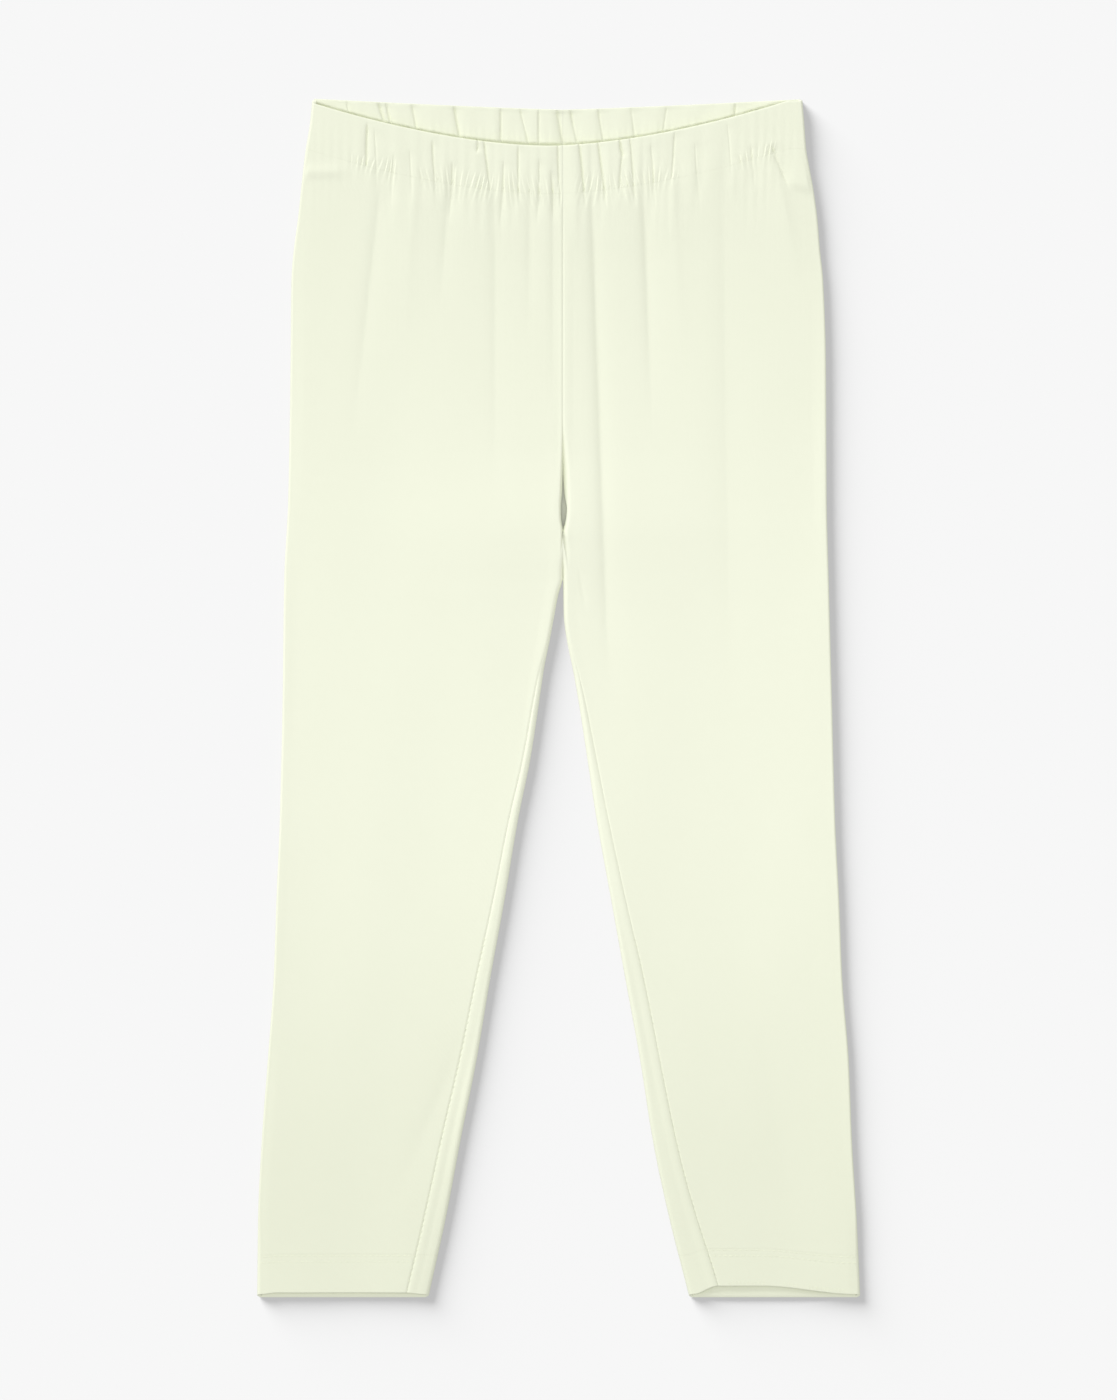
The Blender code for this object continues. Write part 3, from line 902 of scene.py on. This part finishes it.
class Shader:
    """A material whose nodes are added one call at a time."""

    def __init__(self, name):
        self.material = bpy.data.materials.new(name)
        self.material.use_nodes = True
        self.tree = self.material.node_tree
        self.surface = self.tree.nodes["Principled BSDF"]

    def node(self, kind, settings=None, inputs=None, output=0):
        node = self.tree.nodes.new(kind)
        for name, value in (settings or {}).items():
            setattr(node, name, value)
        for name, value in (inputs or {}).items():
            self.set(node.inputs[name], value)
        return Value(self, node.outputs[output])

    def ramp(self, value, start, end):
        """0 at start, 1 at end, and an S-curve between them."""
        soft_step = {"interpolation_type": "SMOOTHSTEP", "clamp": True}
        ends = {"Value": value, "From Min": start, "From Max": end}
        return self.node("ShaderNodeMapRange", soft_step, ends)

    def axes(self, place):
        """The three parts of a place, each a value."""
        parts = self.tree.nodes.new("ShaderNodeSeparateXYZ")
        self.set(parts.inputs[0], place)
        return [Value(self, part) for part in parts.outputs]

    def set(self, socket, value):
        if isinstance(value, Value):
            self.tree.links.new(value.socket, socket)
        else:
            socket.default_value = value

    def principled(self, inputs):
        for name, value in inputs.items():
            self.set(self.surface.inputs[name], value)


# Base colours, in linear light. The thread has darker ones. The cloth has a darker one that paints shade
# towards the hems and the waist, and another that paints shade in the gaps between the knit's stitches,
# mixed with a random tone
LIME = (0.888, 0.913, 0.750, 1.0)
LIME_PAINTED_SHADE = (0.808, 0.834, 0.672, 1.0)
LIME_STITCH_SHADE_AND_TONE = (0.80, 0.82, 0.68, 1.0)
THREAD_LIME = (0.87, 0.90, 0.73, 1.0)
THREAD_SHADE = (0.80, 0.83, 0.65, 1.0)
WHITE = (1.0, 1.0, 1.0, 1.0)

# The knit: how wide a column of stitches is, and how tall a stitch, in metres
WALE = 0.00062
COURSE = 0.00046


def jersey(name):
    """Fine plain-knit cotton jersey with painted shade: darker towards the hems, a little darker at the
    waist, and darker in the gaps between its stitches.
    """
    shader = Shader(name)
    u, v, _ = shader.axes(shader.node("ShaderNodeUVMap", {"uv_map": "cloth"}))
    place = shader.node("ShaderNodeTexCoord", output="Object")
    soft = shader.node("ShaderNodeTexNoise", None, {"Vector": place, "Scale": 38.0, "Detail": 3.0})
    fuzz = shader.node("ShaderNodeTexNoise", None, {"Vector": place, "Scale": 2600.0, "Detail": 2.0})

    rib = (u / WALE).sawtooth()
    stitch = (v / COURSE + rib * 0.5).wave() * 0.5 + 0.5
    knit = rib * 0.55 + stitch * 0.45
    relief = knit + (fuzz - 0.5) * 0.5

    _, along, _ = shader.axes(place)
    # Painted shade: the base colour darkens towards the hems and, a little, towards the waist
    low = shader.ramp(along, -0.03, -0.30)
    high = shader.ramp(along, 0.05, 0.24)
    tint = shader.node(
        "ShaderNodeMix", {"data_type": "RGBA"}, {0: low + high * 0.35, 6: LIME, 7: LIME_PAINTED_SHADE}, output=2
    )
    # Painted shade in the gaps between the knit's stitches, with a soft random tone
    between = (1 - knit) * 0.10 + (soft - 0.5) * 0.05
    shaded = shader.node(
        "ShaderNodeMix",
        {"data_type": "RGBA", "blend_type": "MULTIPLY"},
        {0: between, 6: tint, 7: LIME_STITCH_SHADE_AND_TONE},
        output=2,
    )
    bump = shader.node(
        "ShaderNodeBump", None, {"Height": relief, "Strength": 0.35, "Distance": 0.00012}, output="Normal"
    )
    shader.principled({
        "Base Color": shaded,
        "Roughness": 0.86 + (soft - 0.5) * 0.08,
        "Metallic": 0.0,
        "Specular IOR Level": 0.25,
        "Sheen Weight": 0.12,
        "Sheen Roughness": 0.5,
        "Normal": bump,
    })
    return shader.material


def sewing_thread(name):
    """Spun thread of the cloth's own colour."""
    shader = Shader(name)
    place = shader.node("ShaderNodeTexCoord", output="Object")
    fuzz = shader.node("ShaderNodeTexNoise", None, {"Vector": place, "Scale": 5200.0, "Detail": 1.0})
    tint = shader.node(
        "ShaderNodeMix", {"data_type": "RGBA"}, {0: fuzz, 6: THREAD_LIME, 7: THREAD_SHADE}, output=2
    )
    bump = shader.node(
        "ShaderNodeBump", None, {"Height": fuzz, "Strength": 0.5, "Distance": 0.00005}, output="Normal"
    )
    shader.principled({
        "Base Color": tint,
        "Roughness": 0.6,
        "Metallic": 0.0,
        "Sheen Weight": 0.1,
        "Normal": bump,
    })
    return shader.material


# The light table's own glow, and the strength of the sky over it
FLOOR_GLOW = 0.461
SKY = 0.59

# The low light's height and turn, in degrees, and how much each light adds to a level surface
LOW_LIGHT_HEIGHT = 16
LOW_LIGHT_TURN = 51
LOW_LIGHT_WIDTH = 36
HIGH_LIGHT_WIDTH = 60
LOW_ON_FLOOR = 12.88
LOW_ON_CLOTH = 0.50
HIGH_ON_CLOTH = 0.895

# The floor lies this far under the cloth, and reaches this far each way, in metres
FLOOR_GAP = 0.00005
FLOOR_REACH = 4.0

# The camera's height, and how much of the floor the longer side of the picture takes in, in metres
CAMERA_HEIGHT = 2.0
VIEW_LENGTH = 0.7


def ground(name):
    """A pale light table: most of its brightness is its own, so cloth beside it throws no glow on it."""
    shader = Shader(name)
    shader.principled({
        "Base Color": (0.1, 0.1, 0.1, 1.0),
        "Roughness": 1.0,
        "Specular IOR Level": 0.0,
        "Emission Color": WHITE,
        "Emission Strength": FLOOR_GLOW,
    })
    return shader.material


def dress():
    """Every piece of the leggings, with its cloth, its stitches and its place on the frame."""
    made = []
    stitched = sewing_thread("sewing_thread")
    for name, side in SIDES.items():
        row = zigzag(f"{name}_casing_zigzag", side)
        rows = cover_stitch(f"{name}_hem_stitches", side)
        ticks = seam_ticks(f"{name}_inseam_stitches", side)
        loops = []
        if side > 0:
            loops.append(hem_loops(f"{name}_hem_loops", side))
        for sewn in (row, rows, ticks, *loops):
            sewn.data.materials.append(stitched)
            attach(sewn, "root")
        cut = {
            "leg": (leg, (0.300, 0.555), 0.135, [ticks]),
            "waist_casing": (casing, (0.260, 0.024), 0.00624, [row]),
            "hem": (hem, (0.180, 0.020), 0.0036, [rows, *loops]),
        }
        for part, (make, flat, area, sewn) in cut.items():
            node = f"{name}_{part}"
            piece = make(f"{node}_cloth", side)
            piece.data.materials.append(jersey(f"{node}_jersey"))
            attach(piece, "root")
            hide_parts(node)
            made += [piece, *sewn]
    return made


def softbox(name, level, direction, width, lit):
    """A broad far light that adds this much light to a level surface, on these objects only."""
    lamp = bpy.data.lights.new(name, "SUN")
    facing = Vector(direction).normalized()
    lamp.energy = level / -facing.z
    lamp.angle = math.radians(width)
    light = bpy.data.objects.new(name, lamp)
    light.rotation_euler = facing.to_track_quat("-Z", "Y").to_euler()
    bpy.context.scene.collection.objects.link(light)
    group = bpy.data.collections.new(f"{name}_lights")
    for piece in lit:
        group.objects.link(piece)
    light.light_linking.receiver_collection = group


def stage(cloth):
    """A pale floor, soft light from the upper left, and the camera straight above."""
    shape = bmesh.new()
    bmesh.ops.create_grid(shape, x_segments=1, y_segments=1, size=FLOOR_REACH)
    mesh = bpy.data.meshes.new("floor")
    shape.to_mesh(mesh)
    shape.free()
    for vertex in mesh.vertices:
        vertex.co.z = -FLOOR_GAP
    mesh.materials.append(ground("floor"))
    floor = bpy.data.objects.new("floor", mesh)
    bpy.context.scene.collection.objects.link(floor)

    world = bpy.data.worlds.new("studio")
    world.use_nodes = True
    sky = world.node_tree.nodes["Background"]
    sky.inputs["Color"].default_value = WHITE
    sky.inputs["Strength"].default_value = SKY
    bpy.context.scene.world = world
    low, turned = math.radians(LOW_LIGHT_HEIGHT), math.radians(LOW_LIGHT_TURN)
    slanting = (math.cos(low) * math.cos(turned), -math.cos(low) * math.sin(turned), -math.sin(low))
    softbox("softbox_on_floor", LOW_ON_FLOOR, slanting, LOW_LIGHT_WIDTH, [floor])
    softbox("softbox_on_cloth", LOW_ON_CLOTH, slanting, LOW_LIGHT_WIDTH, cloth)
    softbox("softbox_above", HIGH_ON_CLOTH, (0.05, -0.05, -1.0), HIGH_LIGHT_WIDTH, cloth)
    floor.visible_diffuse = False

    lens = bpy.data.cameras.new("camera")
    lens.sensor_fit = "AUTO"
    lens.sensor_width = 36.0
    lens.lens = lens.sensor_width * CAMERA_HEIGHT / VIEW_LENGTH
    lens.clip_end = 20.0
    camera = bpy.data.objects.new("camera", lens)
    camera.location = (-0.0001, -0.001, CAMERA_HEIGHT)
    bpy.context.scene.collection.objects.link(camera)
    bpy.context.scene.camera = camera
    bpy.context.scene.view_settings.view_transform = "Standard"


stage(dress())
bpy.context.view_layer.update()
